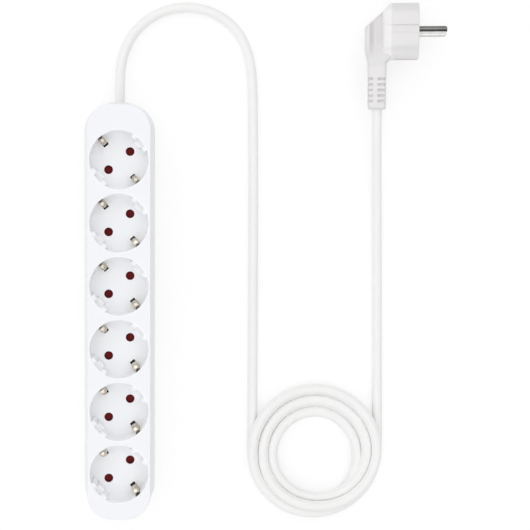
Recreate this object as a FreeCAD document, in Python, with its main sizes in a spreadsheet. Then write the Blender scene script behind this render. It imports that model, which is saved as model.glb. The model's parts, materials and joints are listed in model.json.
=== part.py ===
"""Six-way earthed power strip with its lead, coil and angled plug.

Frame: millimetres, +Z up. The strip lies along Y on its feet, with the origin under the middle
of its base; the lead leaves the +Y end, loops towards +X, lies in a coil and ends in the plug.
"""
import FreeCAD, Part
import math
import os
import re
import Sketcher

Vector = FreeCAD.Vector
X_AXIS, Y_AXIS, Z_AXIS = Vector(1, 0, 0), Vector(0, 1, 0), Vector(0, 0, 1)

# Driving dimensions in millimetres and degrees, each one a named cell of the sheet.
DIMENSIONS = {
    # Outside of the strip. Its walls lean inwards by the draft angle from the base up.
    "strip_height": 40,
    "foot_height": 0.8,
    "base_length": 284,
    "base_width": 48.4,
    "end_radius": 19.5,
    "draft_angle": 4.8,
    "parting_height": 9,
    "wall": 2.2,
    "lip_width": 1.2,
    "lip_height": 1.6,
    "lip_gap": 0.15,
    "outer_edge": 0.6,
    "parting_edge": 0.4,
    # The row of sockets. A socket's own frame has its pins on X and its earth clips on Y.
    "socket_count": 6,
    "socket_pitch": 42,
    "first_socket_y": 102,
    "socket_turn": 40.4,
    "recess_depth": 17.5,
    "recess_radius": 19.5,
    "recess_draft": 1.2,
    "recess_edge": 0.5,
    "well_radius": 20.7,
    "floor_thickness": 2,
    "pin_spacing": 19,
    "pin_hole_radius": 2.95,
    "key_face": 16.3,
    "key_width": 14,
    "key_drop": 0.9,
    "rib_face": 15.2,
    "rib_width": 5.2,
    "rib_drop": 4,
    "clip_slot_inner": 13,
    "clip_slot_outer": 21.3,
    "clip_slot_width": 3.8,
    "clip_slot_drop": 1.8,
    # Shutters under the socket floors, and the plate that carries them.
    "pivot_radius": 2,
    "shutter_bore": 2.3,
    "shutter_radius": 12.9,
    "shutter_arc": 44,
    "shutter_thickness": 2.3,
    "shutter_gap": 0.3,
    "shutter_hub": 2.9,
    "shutter_seat": 1.8,
    "spring_radius": 3.6,
    "spring_wire": 0.25,
    "spring_pitch": 0.62,
    "spring_turns": 1.672,
    "plate_top": 17.4,
    "plate_thickness": 0.8,
    "plate_width": 30,
    "plate_end": 18,
    "stud_radius": 1.5,
    "stud_place": 10.4,
    # Brass: live, neutral and earth.
    "brass": 0.8,
    "spring_brass": 0.6,
    "bar_bottom": 6,
    "bar_top": 14,
    "pin_grip": 2.35,
    "grip_length": 3.6,
    "terminal_y": 119,
    "earth_height": 15,
    "earth_rail": 3,
    "earth_arm": 3,
    # Screws and the posts that they run in.
    "screw_x": 15,
    "boss_radius": 3.4,
    "boss_bottom": 7,
    "screw_radius": 1.45,
    "screw_tip": 24,
    "head_radius": 2.8,
    "head_height": 1.8,
    "foot_radius": 5,
    "foot_x": 14,
    "foot_y": 118,
    # The lead, its bushing in the end wall and its clamp.
    "cord_radius": 3.6,
    "cord_height": 11,
    "jacket_end_y": 126.8,
    "core_radius": 1.3,
    "bushing_width": 13.5,
    "bushing_height": 11.6,
    "bushing_face_y": 141.6,
    "clamp_y": 130.5,
    "clamp_length": 6,
    "clamp_span": 9,
    "clamp_top": 16.8,
    # The coil that the spare lead lies in.
    "coil_x": 136.6,
    "coil_y": -100.6,
    "coil_radius": 47.7,
    "coil_hole": 26.7,
    "coil_hole_shift": 2.8,
    "coil_height": 15,
    "coil_round": 4.5,
    # The plug. Its own frame has the middle of its face at the origin and its pins along +X.
    "plug_x": 205.4,
    "plug_y": 192.7,
    "plug_z": 19.9,
    "plug_tilt": 11,
    "plug_radius": 19.5,
    "plug_flat": 16,
    "plug_block": 19.2,
    "plug_bevel": 5.15,
    "plug_bevel_radius": 13,
    "plug_back": 37,
    "handle_half": 12.4,
    "neck_axis": 28.45,
    "neck_half": 6.55,
    "neck_start": 24,
    "neck_end": 53.2,
    "plug_pin_radius": 2.4,
    "plug_pin_length": 19,
    "pin_root_radius": 2,
    "earth_hole_radius": 2.5,
    "earth_hole_place": 10,
}

doc = FreeCAD.newDocument("power_strip")
sizes = doc.addObject("Spreadsheet::Sheet", "sizes")
for row, (alias, number) in enumerate(DIMENSIONS.items(), start=1):
    sizes.set(f"A{row}", alias)
    sizes.set(f"B{row}", str(number))
    sizes.setAlias(f"B{row}", alias)
doc.recompute()

# Heights, places and outlines that follow from the driving dimensions.
SOCKET_FLOOR = "(strip_height - recess_depth)"
FLOOR_UNDERSIDE = "(strip_height - recess_depth - floor_thickness)"
INSIDE_FLOOR = "(foot_height + wall)"
SPLIT_SHRINK = "((parting_height - foot_height) * tan(draft_angle))"
SPLIT_LENGTH = f"(base_length - 2 * {SPLIT_SHRINK})"
SPLIT_WIDTH = f"(base_width - 2 * {SPLIT_SHRINK})"
SPLIT_RADIUS = f"(end_radius - {SPLIT_SHRINK})"
LAST_SOCKET_Y = "(first_socket_y - (socket_count - 1) * socket_pitch)"
FIRST_GAP_Y = "(first_socket_y - socket_pitch / 2)"
PIN_X = "(pin_spacing / 2 * cos(socket_turn))"
PIN_Y = "(pin_spacing / 2 * sin(socket_turn))"
SHUTTER_BOTTOM = f"({FLOOR_UNDERSIDE} - shutter_gap - shutter_thickness)"
SCREW_PLACES = [(f"({side} * screw_x)", f"({FIRST_GAP_Y} - {gap} * socket_pitch)")
                for gap in (0, 2, 4) for side in (-1, 1)] + [("0", f"({LAST_SOCKET_Y} - 25.6)")]

parts = []


def formula(text):
    """Turn bare dimension names into references to the sheet's cells."""
    def cell(match):
        word = match.group()
        return "sizes." + word if word in DIMENSIONS else word

    return re.sub(r"[a-z_]+", cell, text)


def value(text):
    """Work out a formula's number."""
    return float(sizes.evalExpression(formula(text)))


def bind(target, **properties):
    """Bind an object's properties to formulas; a double underscore stands for a point in the path."""
    for name, text in properties.items():
        target.setExpression(name.replace("__", "."), formula(text))


def keep(target, label):
    """Register a finished sub-part under its node name."""
    target.Label = label
    parts.append(target)
    return target


def place(target, x="0", y="0", z="0", angle="0", axis=Z_AXIS):
    """Bind an object's Placement: a turn about an axis, then a move."""
    turn = FreeCAD.Rotation(axis, value(angle))
    target.Placement = FreeCAD.Placement(Vector(value(x), value(y), value(z)), turn)
    bind(target, Placement__Base__x=x, Placement__Base__y=y, Placement__Base__z=z)
    if value(angle):
        bind(target, Placement__Rotation__Angle=angle)
    return target


# ---- sketches and features of bodies ----

def new_body(name):
    return doc.addObject("PartDesign::Body", name)


def origin_feature(body, role):
    return next(feature for feature in body.Origin.OriginFeatures if feature.Role == role)


def new_sketch(body, name, height="0", y="0", turn=None):
    """A sketch parallel to XY at a height, moved along Y and turned about Z."""
    sketch = body.newObject("Sketcher::SketchObject", name)
    sketch.AttachmentSupport = (origin_feature(body, "XY_Plane"), [""])
    sketch.MapMode = "FlatFace"
    bind(sketch, AttachmentOffset__Base__z=height, AttachmentOffset__Base__y=y)
    if turn:
        bind(sketch, AttachmentOffset__Rotation__Angle=turn)
    return sketch


def new_side_sketch(body, name, y="0", turn=None):
    """A sketch on the YZ plane: its x runs along Y and its y along Z, turned about Z."""
    sketch = body.newObject("Sketcher::SketchObject", name)
    sketch.AttachmentSupport = (origin_feature(body, "YZ_Plane"), [""])
    sketch.MapMode = "FlatFace"
    if turn:
        sketch.AttachmentOffset = FreeCAD.Placement(Vector(), FreeCAD.Rotation(Y_AXIS, value(turn)))
        bind(sketch, AttachmentOffset__Rotation__Angle=turn)
    bind(sketch, AttachmentOffset__Base__x=y)
    return sketch


def fix_point(sketch, geometry, which, x, y):
    """Constrain one point of a sketch by its two coordinates, each a formula."""
    for kind, text, axis in (("DistanceX", x, -2), ("DistanceY", y, -1)):
        number = value(text)
        if number == 0:
            sketch.addConstraint(Sketcher.Constraint("PointOnObject", geometry, which, axis))
            continue
        index = sketch.addConstraint(Sketcher.Constraint(kind, -1, 1, geometry, which, number))
        sketch.setExpression(f"Constraints[{index}]", formula(text))


def add_polygon(sketch, points):
    """A closed outline of straight lines through points given as pairs of formulas."""
    corners = [Vector(value(x), value(y)) for x, y in points]
    count = len(corners)
    lines = [sketch.addGeometry(Part.LineSegment(start, end))
             for start, end in zip(corners, corners[1:] + corners[:1])]
    for i, line in enumerate(lines):
        sketch.addConstraint(Sketcher.Constraint("Coincident", line, 2, lines[(i + 1) % count], 1))
        fix_point(sketch, line, 1, *points[i])


def add_rectangle(sketch, x_low, x_high, y_low, y_high):
    add_polygon(sketch, [(x_low, y_low), (x_high, y_low), (x_high, y_high), (x_low, y_high)])


def add_circle(sketch, radius, x="0", y="0"):
    circle = sketch.addGeometry(Part.Circle(Vector(value(x), value(y)), Z_AXIS, value(radius)))
    fix_point(sketch, circle, 3, x, y)
    index = sketch.addConstraint(Sketcher.Constraint("Radius", circle, value(radius)))
    sketch.setExpression(f"Constraints[{index}]", formula(radius))


def add_rounded_outline(sketch, length, width, radius):
    """A rectangle with round corners about the sketch's origin, its length along Y."""
    half_y, half_x, corner = value(length) / 2, value(width) / 2, value(radius)
    flat_x, flat_y = half_x - corner, half_y - corner
    ends = [((-flat_x, -half_y), (flat_x, -half_y)), ((half_x, -flat_y), (half_x, flat_y)),
            ((flat_x, half_y), (-flat_x, half_y)), ((-half_x, flat_y), (-half_x, -flat_y))]
    lines = [sketch.addGeometry(Part.LineSegment(Vector(*start), Vector(*end))) for start, end in ends]
    arcs = []
    centres = ((flat_x, -flat_y), (flat_x, flat_y), (-flat_x, flat_y), (-flat_x, -flat_y))
    for quarter, centre in enumerate(centres, start=-1):
        circle = Part.Circle(Vector(*centre), Z_AXIS, corner)
        start = quarter * math.pi / 2
        arcs.append(sketch.addGeometry(Part.ArcOfCircle(circle, start, start + math.pi / 2)))
    for i in range(4):
        sketch.addConstraint(Sketcher.Constraint("Tangent", lines[i], 2, arcs[i], 1))
        sketch.addConstraint(Sketcher.Constraint("Tangent", arcs[i], 2, lines[(i + 1) % 4], 1))
        sketch.addConstraint(Sketcher.Constraint(("Horizontal", "Vertical")[i % 2], lines[i]))
    for arc in arcs[1:]:
        sketch.addConstraint(Sketcher.Constraint("Equal", arcs[0], arc))
    sketch.addConstraint(Sketcher.Constraint("Symmetric", arcs[0], 3, arcs[2], 3, -1, 1))
    driven = (("Radius", (arcs[0],), radius),
              ("DistanceX", (arcs[3], 3, arcs[0], 3), f"{width} - 2 * {radius}"),
              ("DistanceY", (arcs[0], 3, arcs[1], 3), f"{length} - 2 * {radius}"))
    for kind, points, text in driven:
        index = sketch.addConstraint(Sketcher.Constraint(kind, *points, value(text)))
        sketch.setExpression(f"Constraints[{index}]", formula(text))


def extrude(body, kind, name, sketch, length, taper=None, upward=False, symmetric=False):
    """A Pad or Pocket; a pocket cuts down from its sketch unless it is sent upward."""
    feature = body.newObject("PartDesign::" + kind, name)
    feature.Profile = sketch
    bind(feature, Length=length)
    if taper:
        bind(feature, TaperAngle=taper)
    if symmetric:
        feature.SideType = "Symmetric"
    if kind == "Pocket" and upward:
        feature.Reversed = True
    doc.recompute()
    return feature


def row_of(body, name, features, count):
    """Repeat features along the strip, one socket pitch apart, towards -Y."""
    pattern = body.newObject("PartDesign::LinearPattern", name)
    pattern.Originals = features
    pattern.Direction = (origin_feature(body, "Y_Axis"), [""])
    pattern.Reversed = True
    bind(pattern, Length=f"(({count}) - 1) * socket_pitch", Occurrences=count)
    body.Tip = pattern
    doc.recompute()
    return pattern


def round_edges(body, name, base, radius, wanted):
    """Fillet the edges of a feature that a test picks."""
    edges = [f"Edge{i}" for i, edge in enumerate(base.Shape.Edges, start=1) if wanted(edge)]
    fillet = body.newObject("PartDesign::Fillet", name)
    fillet.Base = (base, edges)
    bind(fillet, Radius=radius)
    body.Tip = fillet
    doc.recompute()
    return fillet


# ---- primitives and booleans ----

def box(name, x, y, z):
    """A box given by a low and a high formula on each axis."""
    solid = doc.addObject("Part::Box", name)
    bind(solid, Length=f"({x[1]}) - ({x[0]})", Width=f"({y[1]}) - ({y[0]})", Height=f"({z[1]}) - ({z[0]})")
    return place(solid, x[0], y[0], z[0])


def cylinder(name, radius, length, x="0", y="0", z="0", angle="0", axis=Z_AXIS):
    solid = doc.addObject("Part::Cylinder", name)
    bind(solid, Radius=radius, Height=length)
    return place(solid, x, y, z, angle, axis)


def cut(name, base, tool):
    result = doc.addObject("Part::Cut", name)
    result.Base, result.Tool = base, tool
    return result


def common(name, *shapes):
    result = doc.addObject("Part::MultiCommon", name)
    result.Shapes = list(shapes)
    return result


def fuse(name, *shapes):
    result = doc.addObject("Part::MultiFuse", name)
    result.Shapes = list(shapes)
    result.Refine = True
    return result


def group(name, *shapes):
    result = doc.addObject("Part::Compound", name)
    result.Links = list(shapes)
    return result


def fillet(name, base, radius, wanted):
    """Fillet the edges of a Part object that a test picks."""
    doc.recompute()
    result = doc.addObject("Part::Fillet", name)
    result.Base = base
    picked = [i for i, edge in enumerate(base.Shape.Edges, start=1) if wanted(edge)]
    result.Edges = [(i, value(radius), value(radius)) for i in picked]
    return result


# ---- tubes ----

def rounded_path(points):
    """Straight runs joined by tangent arcs, and the arcs' radii."""
    corners = [Vector(*point) for point in points]
    edges, radii = [], []
    start = corners[0]
    for before, corner, after in zip(corners, corners[1:], corners[2:]):
        back, ahead = before - corner, after - corner
        half_turn = (math.pi - back.getAngle(ahead)) / 2
        reach = 0.45 * min(back.Length, ahead.Length)
        radii.append(reach / math.tan(half_turn))
        back.normalize()
        ahead.normalize()
        first, last = corner + back * reach, corner + ahead * reach
        inward = back + ahead
        inward.normalize()
        middle = corner + inward * (radii[-1] / math.cos(half_turn) - radii[-1])
        edges.append(Part.LineSegment(start, first).toShape())
        edges.append(Part.Arc(first, middle, last).toShape())
        start = last
    edges.append(Part.LineSegment(start, corners[-1]).toShape())
    return Part.Wire(edges), radii


def tube(label, points, radius):
    """A round tube along a rounded path, its volume checked against section times length."""
    path, radii = rounded_path(points)
    start, ahead = Vector(*points[0]), Vector(*points[1])
    section = Part.Wire([Part.Circle(start, ahead - start, value(radius)).toShape()])
    solid = path.makePipeShell([section], True, False)
    expected = math.pi * value(radius) ** 2 * path.Length
    print(f"{label}: {path.Length:.1f} long, smallest radius {min(radii):.1f}, "
          f"volume {solid.Volume:.0f} of {expected:.0f}")
    feature = doc.addObject("Part::Feature", label)
    feature.Shape = solid
    feature.Placement = FreeCAD.Placement()
    return keep(feature, label)


# ---- housing ----

def level_edge(edge, height, inside_of=None):
    """Whether an edge lies flat at a height, and within a distance of the strip's middle plane."""
    bounds = edge.BoundBox
    flat = abs(bounds.ZMin - height) < 0.001 and abs(bounds.ZMax - height) < 0.001
    return flat and (inside_of is None or max(abs(bounds.XMin), abs(bounds.XMax)) < inside_of)


def at_level(height):
    """A test for edges that lie flat at a height."""
    return lambda edge: level_edge(edge, value(height))


def cut_bushing_notch(body, height, depth, upward=False):
    """Half of the opening for the lead's bushing, cut from the level where the halves meet."""
    notch = new_sketch(body, "BushingNotchOutline", height)
    add_rectangle(notch, "-bushing_width / 2", "bushing_width / 2",
                  "base_length / 2 - 7", "base_length / 2 + 2")
    extrude(body, "Pocket", "BushingNotch", notch, depth, upward=upward)


def make_top_cover():
    """The drafted top shell with its six socket wells, keys, slots, pivots and screw bosses."""
    body = new_body("TopCover")
    outline = new_sketch(body, "CoverOutline", "parting_height")
    add_rounded_outline(outline, SPLIT_LENGTH, SPLIT_WIDTH, SPLIT_RADIUS)
    block = extrude(body, "Pad", "CoverBlock", outline, "strip_height - parting_height", taper="-draft_angle")
    top = round_edges(body, "CoverTopEdge", block, "outer_edge", at_level("strip_height"))
    round_edges(body, "CoverPartingEdge", top, "parting_edge", at_level("parting_height"))

    inner = new_sketch(body, "CoverHollowOutline", "parting_height")
    add_rounded_outline(inner, f"({SPLIT_LENGTH} - 2 * wall)", f"({SPLIT_WIDTH} - 2 * wall)",
                        f"({SPLIT_RADIUS} - wall)")
    extrude(body, "Pocket", "CoverHollow", inner, "strip_height - wall - parting_height",
            taper="-draft_angle", upward=True)

    bosses = new_sketch(body, "BossCircles", "boss_bottom")
    holes = new_sketch(body, "PilotCircles", "boss_bottom")
    for x, y in SCREW_PLACES:
        add_circle(bosses, "boss_radius", x, y)
        add_circle(holes, "screw_radius", x, y)
    extrude(body, "Pad", "ScrewBosses", bosses, "strip_height - wall / 2 - boss_bottom")
    extrude(body, "Pocket", "PilotHoles", holes, "screw_tip + 1 - boss_bottom", upward=True)

    cut_bushing_notch(body, "parting_height", "cord_height + bushing_height / 2 - parting_height",
                      upward=True)

    def socket_sketch(name, height):
        return new_sketch(body, name, height, "first_socket_y", "socket_turn")

    well = socket_sketch("WellCircle", FLOOR_UNDERSIDE)
    add_circle(well, "well_radius")
    pivot = socket_sketch("PivotCircle", "plate_top - plate_thickness - 0.2")
    add_circle(pivot, "pivot_radius")
    recess = socket_sketch("RecessCircle", "strip_height")
    add_circle(recess, "recess_radius")
    keys = socket_sketch("KeyOutlines", SOCKET_FLOOR)
    notches = socket_sketch("KeyNotchOutlines", "strip_height")
    ribs = socket_sketch("RibOutlines", SOCKET_FLOOR)
    pins = socket_sketch("PinCircles", "strip_height")
    slots = socket_sketch("ClipSlotOutlines", "strip_height - clip_slot_drop")
    key_outline = [("key_face", "-key_width / 2"), ("(recess_radius - 0.7)", "-key_width / 2"),
                   ("(recess_radius + 0.6)", "-3"), ("(recess_radius + 0.6)", "3"),
                   ("(recess_radius - 0.7)", "key_width / 2"), ("key_face", "key_width / 2")]
    for side in ("-1", "1"):
        add_polygon(keys, [(f"{side} * {x}", y) for x, y in key_outline])
        add_rectangle(notches, f"{side} * (key_face - 1)", f"{side} * (recess_radius - 0.4)",
                      "-rib_width / 2", "rib_width / 2")
        add_rectangle(ribs, f"{side} * rib_face", f"{side} * (key_face + 1)",
                      "-rib_width / 2", "rib_width / 2")
        add_circle(pins, "pin_hole_radius", f"{side} * pin_spacing / 2")
        add_rectangle(slots, "-clip_slot_width / 2", "clip_slot_width / 2",
                      f"{side} * clip_slot_inner", f"{side} * clip_slot_outer")
    socket = [
        extrude(body, "Pad", "Well", well, f"strip_height - 1 - {FLOOR_UNDERSIDE}"),
        extrude(body, "Pad", "Pivot", pivot, f"{FLOOR_UNDERSIDE} + 0.2 - plate_top + plate_thickness"),
        extrude(body, "Pocket", "Recess", recess, "recess_depth", taper="-recess_draft"),
        extrude(body, "Pad", "Keys", keys, "recess_depth - key_drop"),
        extrude(body, "Pocket", "KeyNotches", notches, "rib_drop"),
        extrude(body, "Pad", "Ribs", ribs, "recess_depth - rib_drop"),
        extrude(body, "Pocket", "PinHoles", pins, "recess_depth + floor_thickness"),
        extrude(body, "Pocket", "ClipSlots", slots,
                f"strip_height - clip_slot_drop - {FLOOR_UNDERSIDE} + 0.6"),
    ]
    row = row_of(body, "Sockets", socket, "socket_count")
    rim = value("recess_radius")
    round_edges(body, "RecessEdges", row, "recess_edge",
                lambda e: level_edge(e, value("strip_height"), rim + 0.01)
                and e.Curve.TypeId == "Part::GeomCircle" and abs(e.Curve.Radius - rim) < 0.01)
    return keep(body, "top_cover")


def make_base():
    """The bottom tray with its lip, screw posts, foot seats, bar saddles and clamp posts."""
    body = new_body("Base")
    outline = new_sketch(body, "BaseOutline", "foot_height")
    add_rounded_outline(outline, "base_length", "base_width", "end_radius")
    block = extrude(body, "Pad", "BaseBlock", outline, "parting_height - foot_height", taper="-draft_angle")
    bottom = round_edges(body, "BaseBottomEdge", block, "outer_edge", at_level("foot_height"))
    round_edges(body, "BasePartingEdge", bottom, "parting_edge", at_level("parting_height"))

    lip_outer = "(wall + lip_gap)"
    lip_inner = "(wall + lip_gap + lip_width)"
    lip = new_sketch(body, "LipOutline", "parting_height")
    add_rounded_outline(lip, f"({SPLIT_LENGTH} - 2 * {lip_outer})",
                        f"({SPLIT_WIDTH} - 2 * {lip_outer})", f"({SPLIT_RADIUS} - {lip_outer})")
    extrude(body, "Pad", "Lip", lip, "lip_height")
    tray = new_sketch(body, "TrayOutline", "parting_height + lip_height")
    add_rounded_outline(tray, f"({SPLIT_LENGTH} - 2 * {lip_inner})",
                        f"({SPLIT_WIDTH} - 2 * {lip_inner})", f"({SPLIT_RADIUS} - {lip_inner})")
    extrude(body, "Pocket", "Tray", tray, f"parting_height + lip_height - {INSIDE_FLOOR}")

    lip_top = "parting_height + lip_height"
    cut_bushing_notch(body, lip_top, f"{lip_top} - cord_height + bushing_height / 2")

    posts = new_sketch(body, "PostCircles", INSIDE_FLOOR)
    holes = new_sketch(body, "ScrewHoleCircles", "boss_bottom")
    seats = new_sketch(body, "HeadSeatCircles", INSIDE_FLOOR)
    for x, y in SCREW_PLACES:
        add_circle(posts, "boss_radius", x, y)
        add_circle(holes, "screw_radius + 0.25", x, y)
        add_circle(seats, "head_radius + 0.2", x, y)
    extrude(body, "Pad", "ScrewPosts", posts, f"boss_bottom - 0.1 - {INSIDE_FLOOR}")
    extrude(body, "Pocket", "ScrewHoles", holes, "boss_bottom")
    extrude(body, "Pocket", "HeadSeats", seats, "wall")

    feet = new_sketch(body, "FootSeatCircles", "foot_height + 1.2")
    for side in (-1, 1):
        for end in (-1, 1):
            add_circle(feet, "foot_radius", f"{side} * foot_x", f"{end} * foot_y")
    extrude(body, "Pocket", "FootSeats", feet, "1.2")

    clamp = new_sketch(body, "ClampPostCircles", INSIDE_FLOOR)
    clamp_holes = new_sketch(body, "ClampHoleCircles", "cord_height - 0.5")
    for side in (-1, 1):
        add_circle(clamp, "3", f"{side} * clamp_span", "clamp_y")
        add_circle(clamp_holes, "1.25", f"{side} * clamp_span", "clamp_y")
    extrude(body, "Pad", "ClampPosts", clamp, f"cord_height - 0.5 - {INSIDE_FLOOR}")
    extrude(body, "Pocket", "ClampHoles", clamp_holes, "6")
    cradle = new_sketch(body, "CradleOutline", INSIDE_FLOOR)
    add_rectangle(cradle, "-5", "5", "clamp_y - clamp_length / 2", "clamp_y + clamp_length / 2")
    extrude(body, "Pad", "Cradle", cradle, f"cord_height - cord_radius - {INSIDE_FLOOR}")

    # Saddles under the two pin bars and a pillar under the earth rail, in each gap between sockets.
    bar_inner = f"({PIN_X} + pin_grip)"
    saddles = new_sketch(body, "SaddleOutlines", INSIDE_FLOOR)
    grooves = new_sketch(body, "SaddleGrooves", "bar_bottom + 2.5")
    pillar = new_sketch(body, "PillarCircle", INSIDE_FLOOR)
    add_circle(pillar, "2", "0", FIRST_GAP_Y)
    for side in ("-1", "1"):
        add_rectangle(saddles, f"{side} * ({bar_inner} - 1.4)", f"{side} * ({bar_inner} + 1.9)",
                      f"{FIRST_GAP_Y} - 2.5", f"{FIRST_GAP_Y} + 2.5")
        add_rectangle(grooves, f"{side} * {bar_inner}", f"{side} * ({bar_inner} + brass)",
                      f"{FIRST_GAP_Y} - 3", f"{FIRST_GAP_Y} + 3")
    supports = [
        extrude(body, "Pad", "Saddles", saddles, f"bar_bottom + 2.5 - {INSIDE_FLOOR}"),
        extrude(body, "Pocket", "SaddleSlots", grooves, "2.5"),
        extrude(body, "Pad", "Pillar", pillar, f"earth_height - {INSIDE_FLOOR}"),
    ]
    row_of(body, "Supports", supports, "socket_count - 1")
    return keep(body, "base")


def make_feet():
    """Four rubber feet pressed into the base."""
    feet = [cylinder(f"Foot{i}", "foot_radius", "foot_height + 1.2", f"{side} * foot_x", f"{end} * foot_y")
            for i, (side, end) in enumerate(((-1, -1), (1, -1), (-1, 1), (1, 1)), start=1)]
    return keep(group("Feet", *feet), "rubber_feet")


def make_screws(label, places, face, turn, radius, length):
    """Cross-head screws, drawn standing on their heads and turned over where they point down."""
    screws = []
    for i, (x, y) in enumerate(places, start=1):
        name = f"{label}_{i}"
        head = cylinder(name + "_head", "head_radius", "head_height")
        shank = cylinder(name + "_shank", radius, length, z="head_height")
        bars = [box(f"{name}_bar{k}", (f"-{half_x}", half_x), (f"-{half_y}", half_y), ("0", "0.7"))
                for k, (half_x, half_y) in enumerate((("1.7", "0.3"), ("0.3", "1.7")))]
        screw = cut(name, fuse(name + "_solid", head, shank), fuse(name + "_cross", *bars))
        screws.append(place(screw, x, y, face, turn, X_AXIS))
    return keep(group(label + "_group", *screws), label)


# ---- lead entry ----

def make_cord_bushing():
    """The flanged bushing that lines the lead's hole in the end wall."""
    half = "bushing_width / 2"
    low, high = "cord_height - bushing_height / 2", "cord_height + bushing_height / 2"
    face = box("BushingBlock", (f"-{half}", half), ("base_length / 2 - 4.9", "bushing_face_y"), (low, high))
    flange = box("BushingFlange", (f"-{half} - 1.6", f"{half} + 1.6"),
                 ("base_length / 2 - 6.4", "base_length / 2 - 4.9"), (f"{low} - 1.6", f"{high} + 1.6"))
    front = value("bushing_face_y")
    block = fillet("BushingRounded", fuse("BushingSolid", face, flange), "0.8",
                   lambda e: e.BoundBox.YLength < 0.01 and abs(e.BoundBox.YMax - front) < 0.01)
    bore = cylinder("BushingBore", "cord_radius", "20", "0", "base_length / 2 + 5", "cord_height",
                    "90", X_AXIS)
    return keep(cut("Bushing", block, bore), "cord_bushing")


def make_cord_clamp():
    """The saddle that two screws pull down on the lead's jacket."""
    ends = ("clamp_y - clamp_length / 2", "clamp_y + clamp_length / 2")
    bar = box("ClampBar", ("-clamp_span - 3.2", "clamp_span + 3.2"), ends,
              ("cord_height - 0.5", "clamp_top"))
    tools = [cylinder("ClampGroove", "cord_radius", "20", "0", "clamp_y + 10", "cord_height", "90", X_AXIS),
             box("ClampMouth", ("-cord_radius", "cord_radius"), ends, ("cord_height - 1", "cord_height"))]
    for side in (-1, 1):
        tools.append(cylinder(f"ClampHole{side}", "1.35", "20", f"{side} * clamp_span", "clamp_y",
                              "cord_height - 2"))
    return keep(cut("Clamp", bar, fuse("ClampTools", *tools)), "cord_clamp")


# ---- contacts ----

def make_pin_bar(label, side):
    """One brass bar along the row, with a folded spring leaf beside each socket's pin."""
    body = new_body(label.title().replace("_", ""))
    pin_x, pin_y = f"{side} * {PIN_X}", f"{side} * {PIN_Y}"
    bar_inner, bar_outer = f"{pin_x} + {side} * pin_grip", f"{pin_x} + {side} * (pin_grip + brass)"
    strip = new_sketch(body, "BarOutline", "bar_bottom")
    add_rectangle(strip, bar_inner, bar_outer, f"{LAST_SOCKET_Y} + {pin_y} - 5", "terminal_y")
    extrude(body, "Pad", "Bar", strip, "bar_top - bar_bottom")
    leaf = new_sketch(body, "LeafOutline", "bar_bottom", "first_socket_y")
    near, far = f"{pin_x} - {side} * pin_grip", f"{pin_x} - {side} * (pin_grip + spring_brass)"
    fold, fold_outer = f"{pin_y} + {side} * grip_length", f"{pin_y} + {side} * (grip_length + spring_brass)"
    free_end = f"{pin_y} - {side} * grip_length"
    add_polygon(leaf, [(bar_inner, fold), (near, fold), (near, free_end),
                       (far, free_end), (far, fold_outer), (bar_inner, fold_outer)])
    row_of(body, "Leaves", [extrude(body, "Pad", "Leaf", leaf, "bar_top - bar_bottom")], "socket_count")
    return keep(body, label)


def make_earth_bar():
    """The earth rail with an arm across each socket and a sprung clip up each end of the arm."""
    body = new_body("EarthBar")
    rail = new_sketch(body, "RailOutline", "earth_height")
    add_rectangle(rail, "-earth_rail / 2", "earth_rail / 2", f"{LAST_SOCKET_Y} - 4", "terminal_y")
    extrude(body, "Pad", "Rail", rail, "brass")
    arm = new_sketch(body, "ArmOutline", "earth_height", "first_socket_y", "socket_turn")
    add_rectangle(arm, "-earth_arm / 2", "earth_arm / 2",
                  "-clip_slot_inner - 1.9", "clip_slot_inner + 1.9")
    clips = new_side_sketch(body, "ClipProfiles", "first_socket_y", "socket_turn")
    # Each pair: out from the slot's inner end, and up from the rail.
    profile = [(1.3, 0), (1.3, 7), (0.9, 12), (3.4, 18), (4.6, 21.6),
               (5.1, 21.3), (4.0, 17.7), (1.5, 12), (1.9, 7), (1.9, 0)]
    for side in ("-1", "1"):
        add_polygon(clips, [(f"{side} * (clip_slot_inner + {out})", f"earth_height + {up}")
                            for out, up in profile])
    features = [extrude(body, "Pad", "Arm", arm, "brass"),
                extrude(body, "Pad", "Clips", clips, "earth_arm", symmetric=True)]
    row_of(body, "Arms", features, "socket_count")
    return keep(body, "earth_bar")


def make_core_wires():
    """The lead's three cores, from the end of its jacket to the brass."""
    start, end = value("jacket_end_y"), value("terminal_y") - 4.5
    side = value(f"{PIN_X} + pin_grip - core_radius")
    under = value("earth_height - core_radius")
    height = value("cord_height - 0.9")
    for label, sign in (("live_wire", 1), ("neutral_wire", -1)):
        tube(label, [(1.5 * sign, start, height), (1.5 * sign, start - 3, height),
                     (side * sign, start - 8, height), (side * sign, end, height - 0.2)], "core_radius")
    tube("earth_wire", [(0, start, height + 2.5), (0, start - 2.5, height + 2.5),
                        (0, start - 6, under), (0, end, under)], "core_radius")


# ---- shutters ----

def make_shutter(number):
    """A two-lobed shutter that turns on the socket's pivot and closes both pin holes."""
    name = f"Shutter{number}"
    y = f"first_socket_y - {number - 1} * socket_pitch"
    lobes = []
    for start in (0, 180):
        lobe = cylinder(f"{name}Lobe{start}", "shutter_radius", "shutter_thickness",
                        angle=f"{start} - shutter_arc / 2")
        bind(lobe, Angle="shutter_arc")
        lobes.append(lobe)
    blank = fuse(name + "Blank", cylinder(name + "Hub", "spring_radius + 1", "shutter_thickness"), *lobes)
    bore = cylinder(name + "Bore", "shutter_bore", "shutter_thickness")
    seat = cut(name + "SpringSeat", cylinder(name + "SeatOuter", "spring_radius + 1.1", "shutter_seat"),
               cylinder(name + "SeatCore", "shutter_hub", "shutter_seat"))
    shutter = cut(name, blank, fuse(name + "Tools", bore, seat))
    place(shutter, "0", y, SHUTTER_BOTTOM, "socket_turn")
    return keep(shutter, f"shutter_{number}")


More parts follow.
